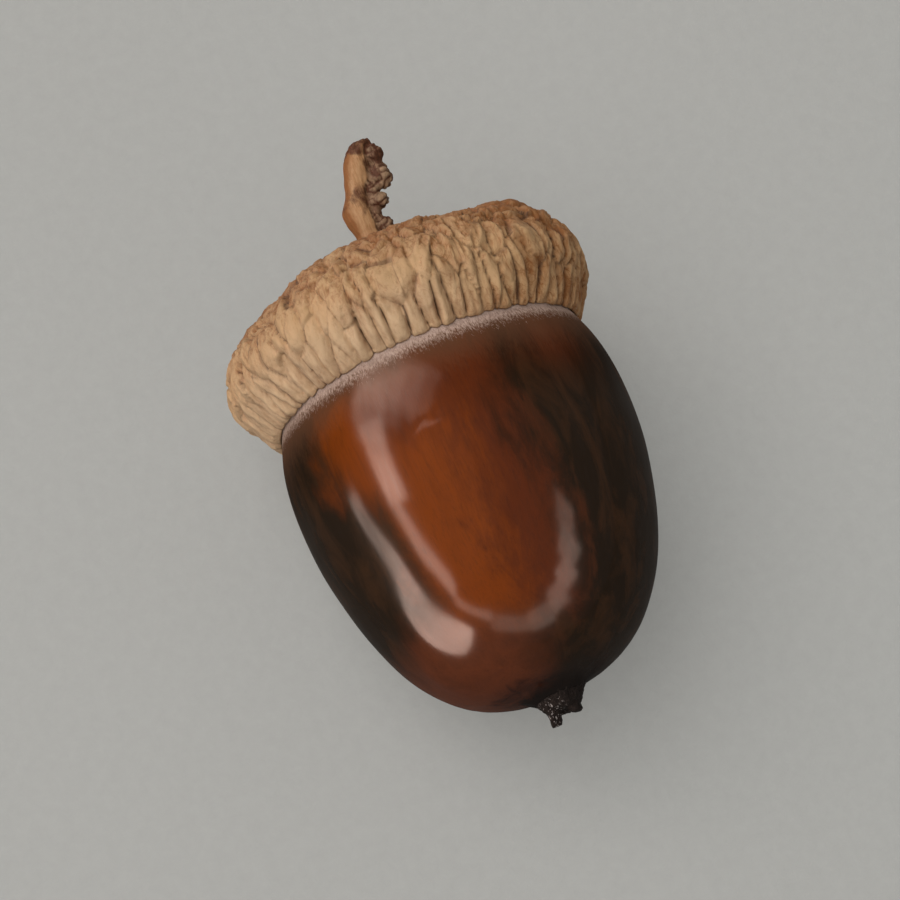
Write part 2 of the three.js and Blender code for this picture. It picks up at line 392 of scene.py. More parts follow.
# Materials
class Value:
    """A number that changes over a surface. Python's operators on it add Math nodes."""

    def __init__(self, shader, socket):
        self.shader = shader
        self.socket = socket

    def __add__(self, other):
        return self.shader.maths("ADD", self, other)

    def __sub__(self, other):
        return self.shader.maths("SUBTRACT", self, other)

    def __mul__(self, other):
        return self.shader.maths("MULTIPLY", self, other)

    def __radd__(self, other):
        return self.shader.maths("ADD", other, self)

    def __rsub__(self, other):
        return self.shader.maths("SUBTRACT", other, self)

    def __rmul__(self, other):
        return self.shader.maths("MULTIPLY", other, self)

    def clamped(self):
        return self.shader.node("Clamp", {"Value": self})

    def step(self, low, high):
        """0 below low, 1 above high and smooth between."""
        inputs = {"Value": self, "From Min": low, "From Max": high}
        return self.shader.node("MapRange", inputs, interpolation_type="SMOOTHSTEP")

    def bell(self, spread):
        """1 where this is 0, falling away by the spread."""
        spreads = self * (1 / spread)
        return self.shader.maths("EXPONENT", spreads * spreads * -1)


class Shader:
    """A material and the nodes of its surface."""

    def __init__(self, name):
        self.material = bpy.data.materials.new(name)
        self.material.use_nodes = True
        self.tree = self.material.node_tree
        self.tree.nodes.clear()

    def node(self, kind, inputs=None, output=0, **settings):
        """Adds a node: its settings first, then its sockets' values or links. Gives one of its outputs."""
        node = self.tree.nodes.new("ShaderNode" + kind)
        for name, value in settings.items():
            setattr(node, name, value)
        for name, value in (inputs or {}).items():
            if isinstance(value, Value):
                self.tree.links.new(value.socket, node.inputs[name])
            else:
                node.inputs[name].default_value = value
        return Value(self, node.outputs[output]) if len(node.outputs) else None

    def maths(self, operation, *terms):
        """A Math node of the terms."""
        return self.node("Math", dict(enumerate(terms)), operation=operation)

    def place(self):
        """Where a point is in the acorn's frame, in millimetres, as a vector and its x, y and z."""
        metres = self.node("TexCoord", output="Object")
        centred = self.node("VectorMath", {0: metres, 1: RIM_CENTRE}, operation="SUBTRACT")
        inputs = {"Vector": centred, "Angle": -math.pi / 2 - DIP}
        upright = self.node("VectorRotate", inputs, rotation_type="Y_AXIS")
        vector = self.node("VectorMath", {0: upright, "Scale": 1 / MM}, operation="SCALE")
        return vector, [self.node("SeparateXYZ", {0: vector}, output=k) for k in range(3)]

    def noise(self, vector, size, detail=3, roughness=0.5, distortion=0):
        """Noise with lumps of about a size, in the vector's units."""
        inputs = {
            "Vector": vector,
            "Scale": 1 / size,
            "Detail": detail,
            "Roughness": roughness,
            "Distortion": distortion,
        }
        return self.node("TexNoise", inputs)

    def streaks(self, vector, along, size, **more):
        """Noise drawn out along the acorn, where a distance counts only by a share."""
        drawn_out = self.node("VectorMath", {0: vector, 1: (1, 1, along)}, operation="MULTIPLY")
        return self.noise(drawn_out, size, **more)

    def value(self, name):
        """A value that the mesh holds for each of its points."""
        return self.node("Attribute", output="Fac", attribute_name=name)

    def mixed(self, share, a, b):
        """Two colours mixed by the second one's share. 6 and 7 are the sockets that take colours."""
        inputs = {"Factor": share, 6: self.colour(a), 7: self.colour(b)}
        return self.node("Mix", inputs, output=2, data_type="RGBA", clamp_factor=True)

    @staticmethod
    def colour(value):
        """A colour of three numbers with the fourth that its socket needs."""
        return value if isinstance(value, Value) else (*value, 1)

    def bump(self, height, depth, normal=None):
        """Relief of a depth in millimetres over another bump."""
        inputs = {"Height": height, "Distance": depth * MM}
        if normal is not None:
            inputs["Normal"] = normal
        return self.node("Bump", inputs)

    def surface(self, inputs):
        """The material, with its surface made from the inputs."""
        shader = self.node("BsdfPrincipled", inputs)
        self.node("OutputMaterial", {"Surface": shader})
        return self.material


def nut_material(nut):
    s = Shader("nut_shell")
    vector, (x, y, z) = s.place()
    # Degrees round the nut from the middle of its ripe side
    middle = math.radians(nut.ripe_angle)
    forward = x * math.cos(middle) + y * math.sin(middle)
    aside = y * math.cos(middle) - x * math.sin(middle)
    degrees = s.maths("ARCTAN2", aside, forward) * math.degrees(1)
    # Fine fibres run from the cup to the point
    fibres = s.streaks(vector, 0.07, 0.16, detail=4, roughness=0.75)
    streaks = s.streaks(vector, 0.16, 0.7, detail=5, roughness=0.65, distortion=0.4)
    bands = s.streaks(vector, 0.3, 1.6, detail=5, roughness=0.65, distortion=0.7)
    clouds = s.streaks(vector, 0.6, 4.0, detail=5, roughness=0.6, distortion=0.9)
    ragged = degrees + (clouds - 0.5) * 30 + (bands - 0.5) * 26
    # The ripe side is narrower towards the point on the left, and wider on the right
    left_end = 1 - (ragged + z.step(5.5, 9) * 12).step(24, 46)
    right_end = (ragged + z.step(8, 12) * 7).step(-42, -18)
    ends = z + (clouds - 0.5) * 5
    ripe = left_end * right_end * ends.step(0.2, 2.4) * (1 - ends.step(15.6, 18.2))
    golden = (ragged + (streaks - 0.5) * 20).step(-22, 2)
    golden = golden * (ends.step(3.2, 6.5) + degrees.step(12, 24)).clamped()
    amber = s.mixed(golden * (0.7 + streaks * 0.6), nut.red_colour, nut.ripe_colour)
    colour = s.mixed(((bands - 0.47) * 3.5).clamped(), nut.dark_colour, nut.brown_colour)
    # The end is a ruddy brown on the left, and darker on the right and underneath
    cloudy = degrees + (clouds - 0.5) * 40
    low_end = ends.step(13.5, 17) * cloudy.step(-32, 26) * (1 - cloudy.step(85, 150))
    colour = s.mixed((low_end * (0.4 + bands)).clamped(), colour, nut.end_colour)
    colour = s.mixed((ripe * (0.75 + bands * 0.5)).clamped(), colour, amber)
    # A ruddy patch lies below the rim, far to the right
    ruddy = (degrees + 56).bell(13) * (z - 2.6).bell(1.7)
    colour = s.mixed((ruddy * bands * 1.3).clamped(), colour, nut.red_colour)
    colour = s.mixed(((fibres - 0.5) * 3).clamped() * 0.4, colour, nut.dark_colour)
    colour = s.mixed(((bands - 0.58) * 4).clamped() * 0.4, colour, nut.dark_colour)
    tip = (z + (bands - 0.5) * 1.6).step(19.0, 20.1)
    colour = s.mixed(tip, colour, nut.tip_colour)
    # Reddish hair lies just below the rim, and pale down covers the collar at it
    hair = s.streaks(vector, 0.16, 0.1, detail=3, roughness=0.75)
    edge = z + (hair - 0.5) * 2.6 + (clouds - 0.5) * 1.6
    red_hair = 1 - edge.step(0.5, 3.4)
    colour = s.mixed((red_hair * (0.1 + hair * 0.8)).clamped(), colour, nut.hair_colour)
    down = 1 - (z + (hair - 0.5) * 2.4).step(-0.1, 1.0)
    colour = s.mixed(down * 0.9, colour, nut.down_colour)
    # The shell is glossiest towards the point, and duller under the hair
    polish = (0.5 + z.step(3.5, 7) * 0.5) * (1 - down) * (1 - tip * 0.5) * (1 - red_hair * 0.3)
    relief = s.bump(bands, 0.05)
    relief = s.bump(fibres, 0.012, relief)
    relief = s.bump(hair * (red_hair + down), 0.05, relief)
    inputs = {
        "Base Color": colour,
        "Roughness": 0.6,
        "Normal": relief,
        "Specular IOR Level": 0,
        "Coat Weight": polish * (0.3 + fibres * 0.8 + streaks * 0.6) * nut.gloss,
        "Coat Roughness": nut.roughness,
        "Coat IOR": 1.8,
    }
    return s.surface(inputs)


def down_material(nut):
    s = Shader("nut_down")
    vector, _ = s.place()
    colour = s.mixed(s.noise(vector, 0.4), nut.hair_colour, nut.pale_hair_colour)
    return s.surface({"Base Color": colour, "Roughness": 0.8, "Specular IOR Level": 0.2})


def style_material(style):
    s = Shader("dry_style")
    vector, (_, y, z) = s.place()
    flakes = s.streaks(vector, 0.45, 0.2, detail=4, roughness=0.7)
    glints = s.streaks(vector, 0.5, 0.12, detail=1).step(0.6, 0.68)
    # Painted highlights: pale glints near the end, mostly on the left prong, on the side that faces the
    # light
    glints = glints * z.step(20.2, 20.7) * (1 - y.step(-1, -0.2))
    colour = s.mixed(flakes.step(0.56, 0.8), style.dark_colour, style.grey_colour)
    colour = s.mixed(glints * 0.9, colour, style.glint_colour)
    inputs = {
        "Base Color": colour,
        "Roughness": 0.5 + flakes * 0.3,
        "Normal": s.bump(flakes, 0.12),
        "Specular IOR Level": 0.06,
    }
    return s.surface(inputs)


def cup_material(cup):
    s = Shader("cup_scales")
    vector, (_, y, z) = s.place()
    crease = s.value("crease")
    brown = s.value("brown")
    patches = s.noise(vector, 2.6, detail=4, roughness=0.65)
    grain = s.streaks(vector, 0.4, 0.14, detail=4, roughness=0.7)
    crown = 1 - z.step(-6.8, -3.0)
    # Painted shade: the +y side, away from the light, is browner
    shaded = y.step(-1, 10)
    # Thin brown lines wander between the wrinkles
    lines = s.streaks(vector, 0.45, 0.75, detail=3, distortion=1.2)
    more_lines = s.streaks(vector, 0.35, 0.4, detail=2, distortion=0.8)
    hairlines = (lines - 0.5).bell(0.02) * 0.8 + (more_lines - 0.5).bell(0.025) * 0.5
    # The grooves' own brown deepened as painted shade, random patches, the browner crown, thin lines, and
    # the painted shade of the +y side
    brown_and_shade = brown * 1.5 + (patches - 0.5) * 2.2 + crown * 0.65 + shaded * 0.35 + hairlines * 0.45 - 0.2
    colour = s.mixed(brown_and_shade.clamped(), cup.ridge_colour, cup.groove_and_shade_colour)
    colour = s.mixed(((grain - 0.5) * 2).clamped() * 0.4, colour, cup.ridge_colour)
    # The folds' ends at the rim are paler on their ridges, and only on the -y side that faces the light:
    # their own paler colour with painted light
    pale = z.step(-4, -1) * (1 - y.step(-3, 6)) * (1 - brown)
    colour = s.mixed(pale.clamped() * 0.7, colour, cup.lit_rim_colour)
    colour = s.mixed(((0.45 - grain) * 2.5).clamped() * 0.5, colour, cup.groove_and_shade_colour)
    # Painted shade darkens the deepest creases
    colour = s.mixed(crease.step(0.3, 0.9) * 0.85, colour, cup.crease_shade_colour)
    inputs = {
        "Base Color": colour,
        "Roughness": 0.65 + grain * 0.2,
        "Normal": s.bump(grain - hairlines * 0.3, 0.05),
        "Specular IOR Level": 0.2,
    }
    return s.surface(inputs)


def stem_material(stem):
    s = Shader("stem_bark")
    vector, _ = s.place()
    dark = s.value("dark")
    edge = s.value("edge")
    fibres = s.streaks(vector, 0.14, 0.14, detail=4, roughness=0.7)
    patches = s.streaks(vector, 0.5, 0.7, detail=5, roughness=0.7)
    colour = s.mixed((edge + (patches - 0.45) * 2.5).clamped(), stem.light_colour, stem.brown_colour)
    colour = s.mixed(((fibres - 0.45) * 3).clamped() * 0.7, colour, stem.brown_colour)
    colour = s.mixed(s.value("knob"), colour, stem.knob_colour)
    blotches = s.streaks(vector, 0.6, 0.3, detail=4, roughness=0.7)
    # Darker on the scars and the broken end, and as painted shade in the knobs' creases and the hollows,
    # broken up by blotches
    darkness = dark * 1.35 + (blotches - 0.5) * 1.5 + (patches - 0.5) * 1.5 + (fibres - 0.5) - 0.2
    colour = s.mixed(darkness.clamped() * 0.95, colour, stem.dark_colour)
    inputs = {
        "Base Color": colour,
        "Roughness": 0.55 + fibres * 0.25,
        "Normal": s.bump(fibres, 0.05),
        "Specular IOR Level": 0.1,
    }
    return s.surface(inputs)


def floor_material(stage):
    s = Shader("paper")
    metres = s.node("TexCoord", output="Object")
    grain = s.noise(metres, 0.0009, detail=3, roughness=0.7)
    clouds = s.noise(metres, 0.05, detail=2)
    darker = [(1 - PAPER_GRAIN) * c for c in stage.floor_colour]
    lighter = [(1 + PAPER_GRAIN) * c for c in stage.floor_colour]
    colour = s.mixed(grain, darker, lighter)
    colour = s.mixed(clouds * PAPER_CLOUDS, colour, stage.cloud_colour)
    inputs = {
        "Base Color": colour,
        "Roughness": 0.9,
        "Normal": s.bump(grain, 0.05),
        "Specular IOR Level": 0.1,
        "Emission Color": colour,
        "Emission Strength": stage.floor_glow,
    }
    return s.surface(inputs)


# Sizes and colours
def number(name, description, default, **more):
    return FloatProperty(name=name, description=description, default=default, **more)


def tint(name, description, default):
    return FloatVectorProperty(
        name=name, description=description, default=default, subtype="COLOR", min=0, max=1, size=3
    )


class NutSettings(bpy.types.PropertyGroup):
    dark_colour: tint("Dark shell", "Colour of the shell's dark flanks", (0.013, 0.006, 0.002))
    brown_colour: tint("Brown shell", "Colour of the blotches on the flanks", (0.043, 0.0165, 0.0055))
    red_colour: tint("Red shell", "Colour between the flanks and the ripe side", (0.078, 0.0155, 0.0035))
    ripe_colour: tint("Ripe shell", "Colour of the amber side", (0.148, 0.0278, 0.0017))
    hair_colour: tint("Red hair", "Colour of the hair below the rim", (0.15, 0.065, 0.033))
    down_colour: tint("Down", "Colour of the pale down at the rim", (0.48, 0.345, 0.28))
    ripe_angle: number("Ripe side", "Where the amber side is round the nut, in degrees", 199.0)
    tip_colour: tint("Point", "Colour of the shell where it runs up to the point", (0.009, 0.006, 0.005))
    end_colour: tint("End", "Colour of the shell round the point", (0.1, 0.024, 0.008))
    roughness: number("Roughness", "Of the polished coat", 0.135, min=0, max=1)
    gloss: number("Gloss", "Strength of the polished coat", 0.13, min=0, max=1)
    pale_hair_colour: tint("Pale hair", "Colour of the palest hairs on the collar", (0.42, 0.32, 0.27))
    hairs: IntProperty(name="Hairs", description="How many hairs stand on the collar", default=8000, min=0)
    hair_length: number("Hair length", "Of the down, in millimetres", 0.34, min=0)


class StyleSettings(bpy.types.PropertyGroup):
    dark_colour: tint("Dark", "Colour of the dried cone", (0.009, 0.006, 0.005))
    grey_colour: tint("Grey", "Colour of its scuffed edges", (0.03, 0.021, 0.018))
    # Painted highlights on the left prong
    glint_colour: tint("Specks", "Colour of the pale specks near its end", (0.32, 0.27, 0.25))


class CupSettings(bpy.types.PropertyGroup):
    ridge_colour: tint("Ridges", "Colour of the tops of the folds", (0.4, 0.24, 0.115))
    # Paler rim ends, with painted light on the side that faces the light
    lit_rim_colour: tint("Ends", "Colour of the folds' ends at the rim", (0.5, 0.345, 0.21))
    # The grooves' own brown, which also paints shade in the folds and on the +y side
    groove_and_shade_colour: tint("Grooves", "Colour of the shallow grooves", (0.19, 0.068, 0.016))
    # Painted shade in the deepest creases
    crease_shade_colour: tint("Creases", "Colour of the deepest creases", (0.035, 0.016, 0.008))
    folds: IntProperty(name="Folds", description="How many folds end at the rim", default=70, min=8)
    fold_depth: number("Fold depth", "Of the creases between the folds, in millimetres", 0.7, min=0)
    fold_tilt: number("Fold tilt", "How far a fold leans over the next, in millimetres", 0.1, min=0)
    wrinkle_depth: number("Wrinkle depth", "Of the wrinkles on the folds, in millimetres", 0.19, min=0)
    ridge_height: number("Ridge height", "Of the thin ridges on the upper part, in millimetres", 0.16, min=0)
    thread_depth: number("Thread depth", "Of the finest lines, in millimetres", 0.035, min=0)


class StemSettings(bpy.types.PropertyGroup):
    light_colour: tint("Light bark", "Colour of the smooth shaft", (0.36, 0.2, 0.095))
    brown_colour: tint("Brown bark", "Colour of its fibres and its left side", (0.2, 0.075, 0.02))
    knob_colour: tint("Knobs", "Colour of the knobs between their creases", (0.25, 0.155, 0.09))
    # Dark bark also paints the shade in the creases and hollows
    dark_colour: tint("Dark bark", "Colour of creases, scars and the broken end", (0.05, 0.014, 0.005))


class StageSettings(bpy.types.PropertyGroup):
    floor_colour: tint("Floor", "Colour of the paper", (0.193, 0.191, 0.18))
    cloud_colour: tint("Clouds", "Colour of the paper's faint clouds", (0.4, 0.4, 0.4))
    floor_glow: number("Floor glow", "How far the paper lights its own shadows", 0.8, min=0)
    ambient: number("Ambient", "Strength of the soft light from all round", 0.47, min=0)
    room_colour: tint("Room", "Colour of the soft light from all round", (0.98, 1.0, 1.0))
    gloss_colour: tint("Mirrored light", "Colour of the lights that the shell mirrors", (1.0, 0.72, 0.6))
    soft_box: number("Soft box", "Radiance of the broad light high on the left", 3.2, min=0)
    window: number("Window", "Radiance of the tall light that the shell mirrors on the left", 35, min=0)
    skyline: number("Skyline", "Radiance of the low bright band that the shell mirrors", 16, min=0)
    low_window: number("Low window", "Radiance of the light at the floor that it mirrors", 30, min=0)


# The nut
def nut_lean(z):
    """The y of the nut's bent middle line at a height."""
    return -NUT_LEAN * (np.maximum(0, z) / NUT_END) ** 2


def nut_points():
    """The shell's surface from its hidden base to the flat under the style remains."""
    outline = Outline(NUT_OUTLINE + NUT_FLARE)
    shares = np.linspace(0.004, 1, NUT_ROWS)
    radius, z = outline.at(shares).T[..., None]
    angle = np.arange(NUT_SIDES) / NUT_SIDES * TURN
    points = round_points(radius, z, angle)
    uneven = Noise(11)(points * [0.16, 0.16, 0.07]) * 0.09 + Noise(12)(points * [0.5, 0.5, 0.12]) * 0.025
    uneven = uneven * smooth(0, 3, z)
    for degrees, middle, height, across, along in NUT_SWELLINGS:
        aside = radius * (angle - math.radians(degrees))
        uneven += height * bell(aside, across) * bell(z - middle, along)
    aside = np.degrees(angle) - SHELL_WRINKLE_ANGLE
    fold = z - SHELL_WRINKLE_Z - SHELL_WRINKLE_CLIMB * aside + 0.4 * Noise(14)(points * 1.2)
    uneven -= 0.011 * bell(fold, 0.2) * bell(aside, 8)
    uneven += 0.008 * bell(fold - 0.5, 0.35) * bell(aside, 9)
    # Faint rings lie round the end, and puckers on the point
    uneven += 0.012 * np.sin(z * 13 + 2 * Noise(15)(points * 0.5)) * smooth(17.8, 19, z)
    puckers = np.abs(np.sin(angle * 9 + 4 * Noise(13)(points * 0.4))) * 0.03 * smooth(17.8, 19.6, z)
    grown = (radius + uneven - puckers) / np.maximum(radius, 1e-6)
    points[..., :2] *= grown[..., None]
    points[..., 1] += nut_lean(z)
    return points


class ACORN_OT_nut(bpy.types.Operator):
    """Make the nut's glossy shell"""

    bl_idname = "acorn.nut"
    bl_label = "Nut"

    def execute(self, context):
        mesh = make_mesh("nut_shell", nut_points(), ring_faces(NUT_ROWS, NUT_SIDES))
        place("nut_shell", mesh, nut_material(context.scene.acorn_nut), "nut_shell", "nut")
        return {"FINISHED"}


class ACORN_OT_down(bpy.types.Operator):
    """Make the pale down on the nut's collar"""

    bl_idname = "acorn.down"
    bl_label = "Down on the nut"

    def execute(self, context):
        nut = context.scene.acorn_nut
        rng = np.random.default_rng(21)
        count = nut.hairs
        lowest, highest = HAIR_ZONE
        z = lowest + (highest - lowest) * rng.random(count) ** 1.4
        angle = TURN * rng.random(count)
        outline_radius, outline_z = zip(*NUT_OUTLINE)
        radius = np.interp(z, outline_z, outline_radius)
        root = np.stack([radius * np.cos(angle), radius * np.sin(angle), z], -1)
        out = np.stack([np.cos(angle), np.sin(angle), 0 * angle], -1)
        side = np.stack([-np.sin(angle), np.cos(angle), 0 * angle], -1)
        lean, sway = rng.normal(0.3, 0.14, count), rng.normal(0, 0.35, count)
        length = nut.hair_length * (0.5 + rng.random(count))
        along = [0, 0, 1] + lean[:, None] * out + sway[:, None] * side
        along *= (length / np.linalg.norm(along, axis=1))[:, None]
        # A hair is a ribbon of one quad and one triangle, with a bend between them
        half = HAIR_HALF_WIDTH * side
        bend = root + along * 0.55 + out * 0.02
        points = np.stack([root - half, root + half, bend + half * 0.8, bend - half * 0.8, root + along], 1)
        start = 5 * np.arange(count)[:, None]
        faces = [*(start + [0, 1, 2, 3]).tolist(), *(start + [3, 2, 4]).tolist()]
        mesh = make_mesh("nut_down", points, faces)
        place("nut_down", mesh, down_material(nut), "nut_shell")
        return {"FINISHED"}


class ACORN_OT_style(bpy.types.Operator):
    """Make the dried style remains on the nut's point"""

    bl_idname = "acorn.style"
    bl_label = "Style remains"

    def execute(self, context):
        outline = Outline(STYLE_OUTLINE).at(np.linspace(0, 1, 14))
        zero = np.zeros(len(outline))
        parts = [tube(np.stack([zero, zero, outline[:, 1], outline[:, 0]], -1))]
        for angle, reach, z, thickness in STYLE_PRONGS:
            radians = math.radians(angle)
            tip = np.array([reach * math.cos(radians), reach * math.sin(radians), z, thickness])
            root = tip * [0.6, 0.6, 0, 2.2] + [0, 0, 20.5, 0]
            share = np.linspace(0, 1, 10)[:, None]
            parts.append(tube(root + (tip - root) * share, sides=16))
        points, normals, faces = fused(parts, voxel=STYLE_VOXEL)
        rough = Noise(31)(points * [2.4, 2.4, 1.2]) * 0.08 + Noise(32)(points * [7, 7, 3]) * 0.05
        points = points + normals * rough[:, None]
        points[:, 1] += nut_lean(NUT_END)
        mesh = make_mesh("style_tip", points, faces)
        place("style_tip", mesh, style_material(context.scene.acorn_style), "dry_style", "style_remains")
        return {"FINISHED"}


# The cup
def swelling(points):
    """How far the cup's low swellings and hollows lift its skin."""
    total = np.zeros(points.shape[:-1])
    for degrees, z, height, spread in CUP_SWELLINGS:
        radius = next(r for r, outline_z in CUP_OUTLINE if outline_z >= z)
        angle = math.radians(degrees)
        centre = [radius * math.cos(angle), radius * math.sin(angle), z]
        total += height * bell(np.linalg.norm(points - centre, axis=-1), spread)
    return total


def spread_out(angle, radius, from_rim, stretch):
    """Places on the cup where a fold is as wide as it is long: round the middle, and up by the distance from
    the rim times a stretch."""
    across = np.where(from_rim < FOLD_LENGTH, FOLD_RADIUS, np.minimum(FOLD_RADIUS, radius))
    return np.stack([across * np.cos(angle), across * np.sin(angle), from_rim * stretch], -1)


def scattered(rng, outline, spacing, stretch, first_row):
    """The middles of folds, no nearer to each other than a spacing. The first row follows the rim evenly."""
    angle = (np.arange(first_row) + rng.uniform(-0.26, 0.26, first_row)) / max(1, first_row) * TURN
    from_rim = rng.uniform(0.7, 1.9, first_row)
    tries = int(40 * (FOLD_RADIUS / spacing) ** 2)
    far_away = 1e6
    seeds = np.full((tries + first_row, 3), far_away)
    seeds[:first_row] = spread_out(angle, 0 * angle, from_rim, stretch)
    count = first_row
    shares = rng.random(tries)
    radius = outline.at(shares)[:, 0]
    from_rim = (1 - shares) * outline.length
    for tried in spread_out(TURN * rng.random(tries), radius, from_rim, stretch):
        if np.sum((seeds[: max(1, count)] - tried) ** 2, -1).min() > spacing**2:
            seeds[count] = tried
            count += 1
    return seeds[:count]


def cells(points, seeds, rng):
    """Parts the points among the seeds. Gives how deep a point lies in the creases between the cells, from 0
    to 1, how near it is to them, and its own cell's tilt."""
    tree = KDTree(len(seeds))
    for k, seed in enumerate(seeds):
        tree.insert(seed, k)
    tree.balance()
    hits = [tree.find_n(point, 4) for point in points.reshape(-1, 3)]
    index = np.array([[hit[1] for hit in four] for four in hits])
    away = np.array([[hit[2] for hit in four] for four in hits])
    own, others = index[:, :1], index[:, 1:]
    gap = np.linalg.norm(seeds[own] - seeds[others], axis=-1)
    edge = (away[:, 1:] ** 2 - away[:, :1] ** 2) / (2 * gap)
    # Creases across the folds are weaker than those along them
    rise_share = np.abs(seeds[own] - seeds[others])[..., 2] / gap
    strengths = rng.uniform(0.5, 1, 256)[(own + others) % 256] * (1 - 0.4 * rise_share)
    size = np.median(gap[:, 0]) / 2
    share = np.clip(edge / size, 0, 1)
    depth = (strengths * (1 - np.sqrt(1 - (1 - share) ** 2))).max(1)
    near = (strengths * bell(edge, 0.17 * size)).max(1)
    slope = rng.normal(0, 1, seeds.shape)
    rise = rng.normal(0, 0.5, len(seeds))
    own = own[:, 0]
    tilt = ((points.reshape(-1, 3) - seeds[own]) * slope[own]).sum(-1) / size + rise[own]
    shape = points.shape[:-1]
    return depth.reshape(shape), near.reshape(shape), tilt.reshape(shape)


def cup_relief(points, angle, radius, from_rim, outline, cup):
    """How far the skin lies off the smooth wall, how near it is to the creases, and how brown it is: browner
    in the folds, partly their own brown and partly painted shade.
    """
    rng = np.random.default_rng(41)
    upper = smooth(1.8, 4.8, from_rim)
    spot = spread_out(angle, radius, from_rim, FOLD_STRETCH)
    stray = (0.4 + 0.6 * upper)[..., None] * noise_vector(51, spot / 2.4)
    stray = stray + 0.14 * noise_vector(54, spot / 0.9)
    seeds = scattered(rng, outline, FOLD_SPACING, FOLD_STRETCH, cup.folds)
    folds, crease, tilt = cells(spot + stray * [1, 1, 0.5], seeds, rng)
    fine_spot = spread_out(angle, radius, from_rim, WRINKLE_STRETCH) + 0.85 * stray
    fine_seeds = scattered(rng, outline, WRINKLE_SPACING, WRINKLE_STRETCH, 0)
    wrinkles, _, fine_tilt = cells(fine_spot + 0.12 * noise_vector(57, spot / 0.5), fine_seeds, rng)
    threads = Noise(61).creases((spot + stray) * [1, 1, 0.7] / 0.22, 0.5)
    # Thin sharp ridges wander over the upper part, as on crumpled paper
    crumple = spread_out(angle, radius, from_rim, RIDGE_STRETCH) + 1.1 * stray
    ridges = Noise(63).creases(crumple / 1.1, 0.4) ** 1.5
    degrees = np.degrees(angle) % 360
    calm = 1 - 0.4 * bell(degrees - CALM_ANGLE, CALM_SPREAD)
    crown = 1 - 0.5 * smooth(6.5, 9, from_rim)
    height = swelling(points) + 0.2 * Noise(60)(points / 3) + 0.08 * Noise(62)(points / 1.5)
    height -= cup.fold_depth * calm * crown * (1 - 0.35 * upper) * folds
    height += cup.fold_tilt * calm * crown * np.clip(tilt, -2, 2)
    wrinkled = wrinkles - 0.16 * np.clip(fine_tilt, -2, 2)
    height -= cup.wrinkle_depth * crown * (0.75 + 0.25 * upper) * wrinkled
    height += cup.ridge_height * crown * upper * ridges
    height -= cup.thread_depth * threads
    fat_end = bell(from_rim - 1.1, 0.8) * 0.12
    # Browner deeper in the folds, wrinkles and threads, and paler on the ridges: partly the grooves' own
    # brown, partly painted shade
    brown = 0.55 * folds**1.5 + 0.35 * wrinkles**1.5 + 0.25 * threads - 0.3 * upper * ridges
    return height + fat_end, crease * (0.5 + 0.5 * calm), np.clip(brown, 0, 1)


class ACORN_OT_cup(bpy.types.Operator):
    """Make the wrinkled cup"""

    bl_idname = "acorn.cup"
    bl_label = "Cup"

    def execute(self, context):
        cup = context.scene.acorn_cup
        outline = Outline(CUP_OUTLINE)
        crown = np.linspace(0, CROWN_SHARE, CROWN_ROWS, endpoint=False)
        shares = np.concatenate([crown, np.linspace(CROWN_SHARE, 1, WALL_ROWS)])
        radius, z = outline.at(shares).T[..., None]
        angle = (np.arange(CUP_SIDES) / CUP_SIDES * TURN)[None]
        points = round_points(radius, z, angle)
        from_rim = (1 - shares[:, None]) * outline.length + 0 * angle
        relief = cup_relief(points, angle + 0 * z, radius + 0 * angle, from_rim, outline, cup)
        height, crease, brown = relief
        height *= smooth(2.1, 4.2, radius)
        out = outline.outwards(shares)
        radial = np.stack([np.cos(angle), np.sin(angle), 0 * angle], -1)
        lip = 1 - smooth(0, 0.5, from_rim)
        height = height * (1 - 0.5 * lip)
        points = points + (out[:, None, :1] * radial + out[:, None, 1:] * [0, 0, 1]) * height[..., None]
        # The lip turns in, and the bowl goes down round the nut
        bowl = Outline(NUT_OUTLINE)
        bowl_shares = np.linspace(*BOWL_SHARES, BOWL_ROWS)
        inner_line = bowl.at(bowl_shares) + SEAT_GAP * bowl.outwards(bowl_shares)
        inner = round_points(*inner_line.T[..., None], angle)
        rows = len(shares) + BOWL_ROWS
        skin = np.concatenate([points, inner])
        none = np.zeros(inner.shape[:-1])
        mesh = make_mesh(
            "cup_wall",
            skin,
            ring_faces(rows, CUP_SIDES),
            crease=np.concatenate([crease, none]),
            brown=np.concatenate([brown, none + BOWL_BROWN]),
        )
        place("cup_wall", mesh, cup_material(cup), "cup_scales", "cup")
        return {"FINISHED"}


